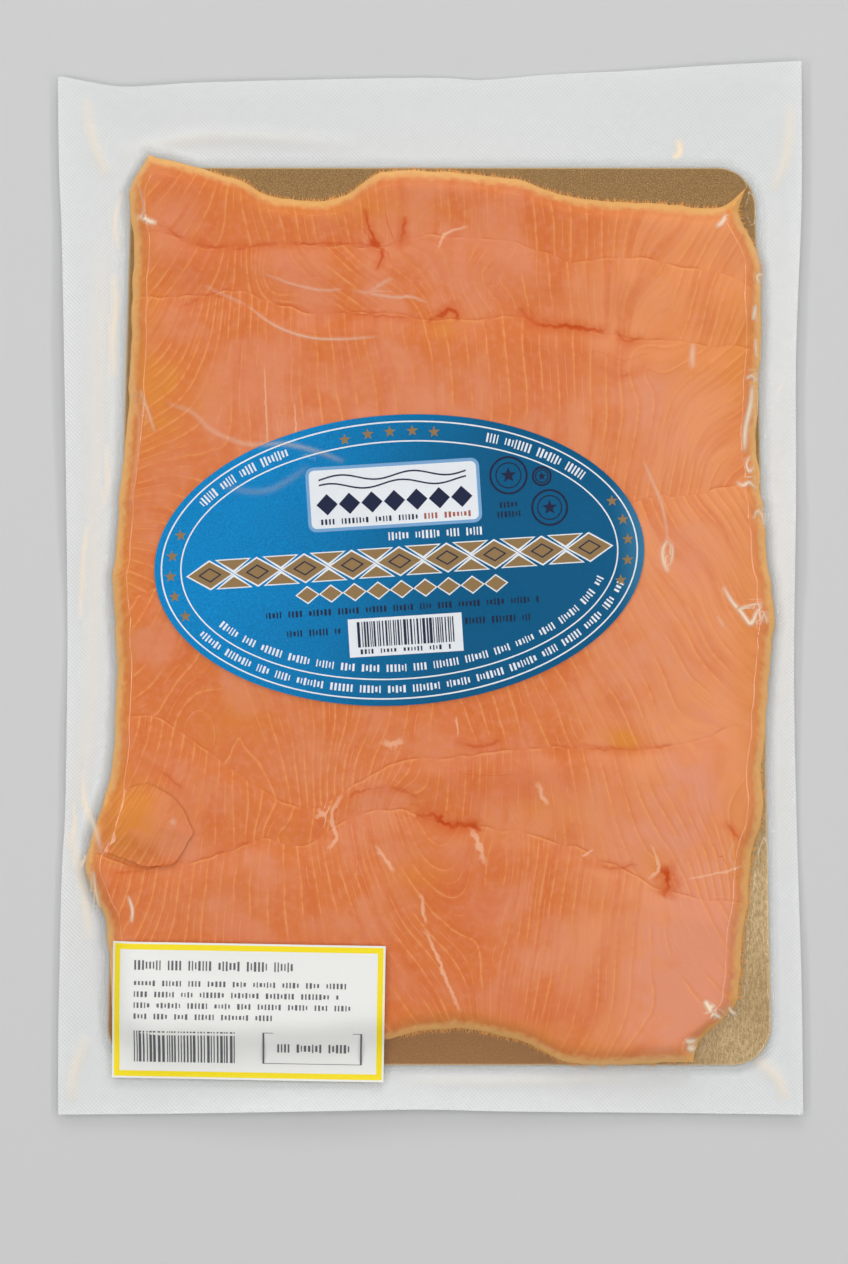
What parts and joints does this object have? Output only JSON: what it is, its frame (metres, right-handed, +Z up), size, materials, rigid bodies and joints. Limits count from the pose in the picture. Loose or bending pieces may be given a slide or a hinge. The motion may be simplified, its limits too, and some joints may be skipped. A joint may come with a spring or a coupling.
{
  "type": "pack of smoked salmon",
  "caption": "Flat sealed clear bag holding shingled slices of smoked salmon on a gold card, with an oval label and a corner sticker. It lies on its back.",
  "frame": {"origin": "middle of the pack's outline, on the flat underside", "axes": "+X to the pack's right, +Y to its upper edge, +Z up out of the side that shows the fish"},
  "size_m": [0.203, 0.287, 0.0092],
  "materials": {
    "film": "clear embossed film, milky at the sealed rim",
    "gold_card": "satin gold laminate with brushed streaks, plain pale back",
    "salmon": "moist flesh with fine pale fat lines",
    "label": "printed blue with gold bands and thin white lines",
    "sticker": "white paper with a yellow border"
  },
  "bodies": {
    "root": {"bag": "film", "gold_card": "gold_card", "slice_1": "salmon", "slice_2": "salmon", "slice_3": "salmon", "slice_4": "salmon", "slice_5": "salmon", "slice_6": "salmon", "slice_flap": "salmon", "oval_label": "label", "corner_sticker": "sticker"}
  },
  "joints": []
}
